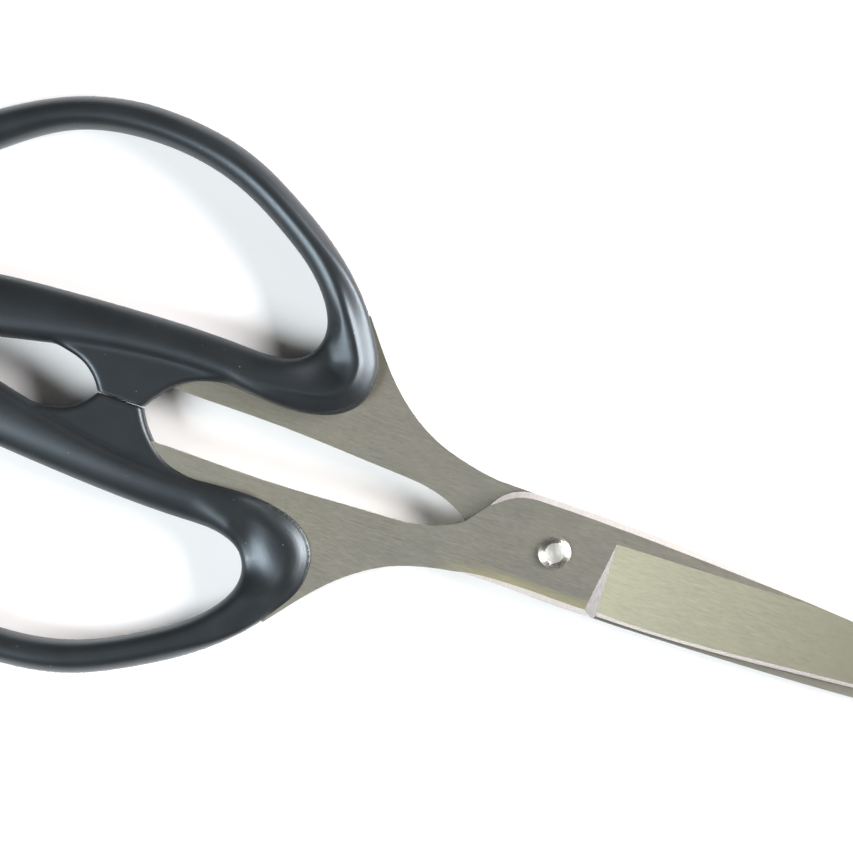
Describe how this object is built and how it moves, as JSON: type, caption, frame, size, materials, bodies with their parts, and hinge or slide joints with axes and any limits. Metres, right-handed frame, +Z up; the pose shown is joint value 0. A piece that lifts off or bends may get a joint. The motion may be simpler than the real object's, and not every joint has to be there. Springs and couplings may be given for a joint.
{
  "type": "fabric shears",
  "caption": "Long straight fabric shears, two bevelled steel blades on a rivet with dark moulded loop handles, lying closed.",
  "frame": {"origin": "on the surface the closed shears lie on, under the middle of their bounding box", "axes": "+X towards the blade tips along the closing line, +Y towards the back half's handle, +Z up from the surface"},
  "size_m": [0.228, 0.096, 0.008],
  "materials": {
    "blade_steel": "ground stainless steel with fine scratches along the blade",
    "handle_plastic": "satin moulded plastic, near black",
    "rivet_steel": "polished turned steel",
    "washer_steel": "plain stamped washer",
    "spacer_plastic": "thin natural nylon"
  },
  "bodies": {
    "back_half": {"back_blade": "blade_steel", "back_handle": "handle_plastic", "pivot_rivet": "rivet_steel", "rivet_washer": "washer_steel", "blade_spacer": "spacer_plastic"},
    "front_half": {"front_blade": "blade_steel", "front_handle": "handle_plastic"}
  },
  "joints": [
    {"name": "blade_pivot", "type": "hinge", "parent": "back_half", "child": "front_half", "pos_m": [0.012, 0, 0.004], "axis": [0, 0, 1], "range_deg": [0, 135]}
  ]
}
